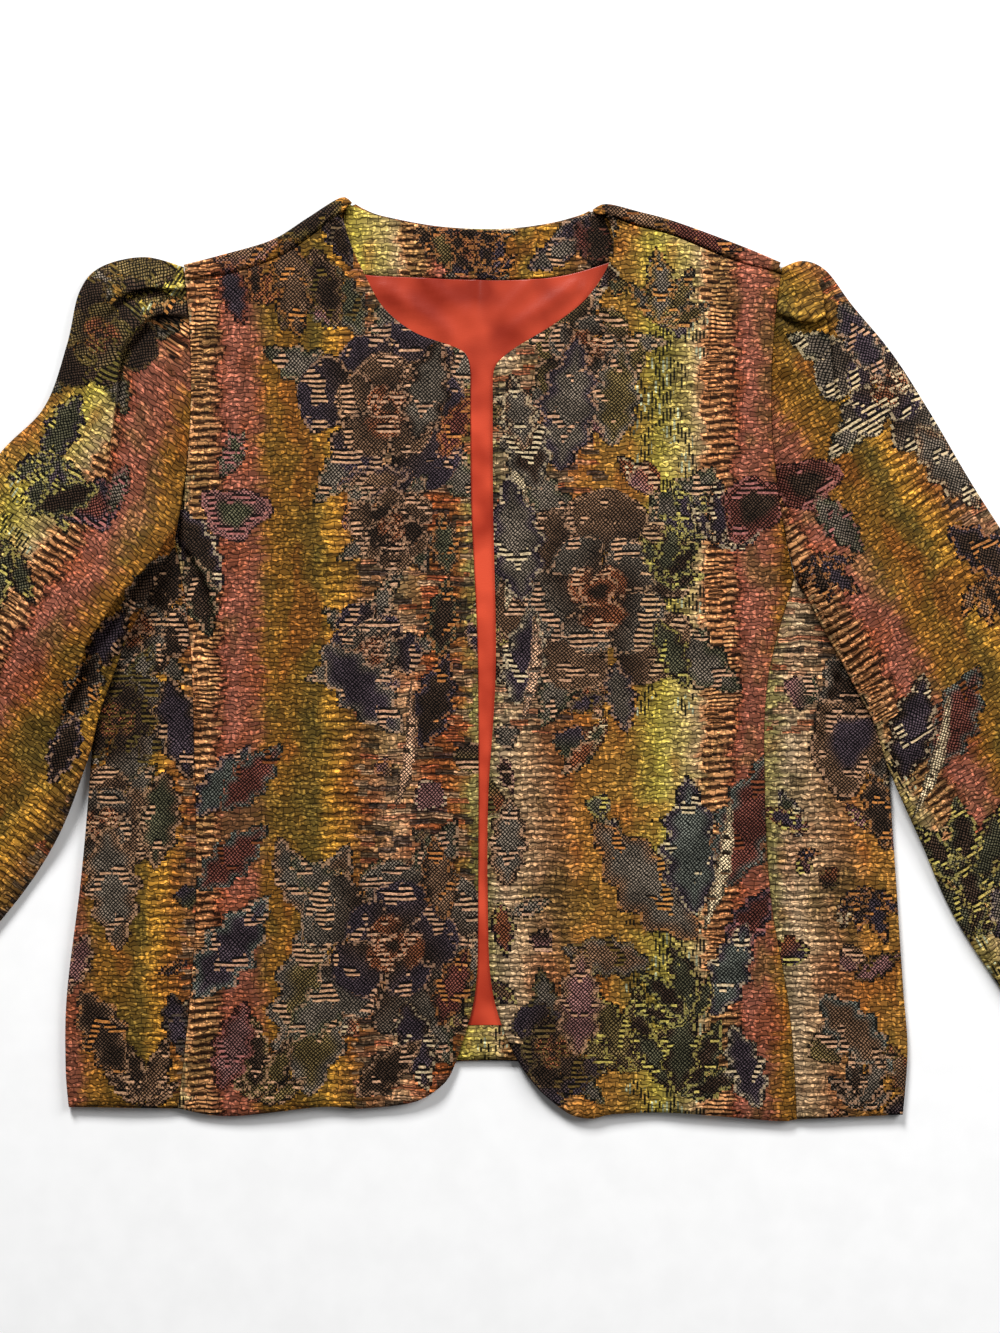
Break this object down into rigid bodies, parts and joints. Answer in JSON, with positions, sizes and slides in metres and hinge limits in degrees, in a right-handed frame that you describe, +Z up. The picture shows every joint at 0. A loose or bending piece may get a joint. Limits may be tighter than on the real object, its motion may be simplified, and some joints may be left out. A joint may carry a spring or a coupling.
{
  "type": "blazer",
  "caption": "Collarless open-front cropped blazer in multicolour tapestry cloth, with gathered sleeve heads and a satin lining, laid flat on its back.",
  "frame": {"origin": "centre of the outline seen from above, on the surface that the jacket lies on", "axes": "+X across the jacket toward the sleeve at the viewer's right, +Y from the hem to the neck, +Z up from the surface"},
  "size_m": [1.0226, 0.6004, 0.0217],
  "materials": {
    "tapestry": "matt ribbed tapestry weave in blended stripes",
    "lining": "plain coral satin, softly shiny"
  },
  "bodies": {
    "root": {"back": "tapestry", "back_neck_facing": "tapestry", "back_lining": "lining", "back_hem_turn_up": "tapestry", "front_left": "tapestry", "front_right": "tapestry", "side_panel_left": "tapestry", "side_panel_right": "tapestry", "sleeve_left": "tapestry", "sleeve_right": "tapestry"}
  },
  "joints": []
}
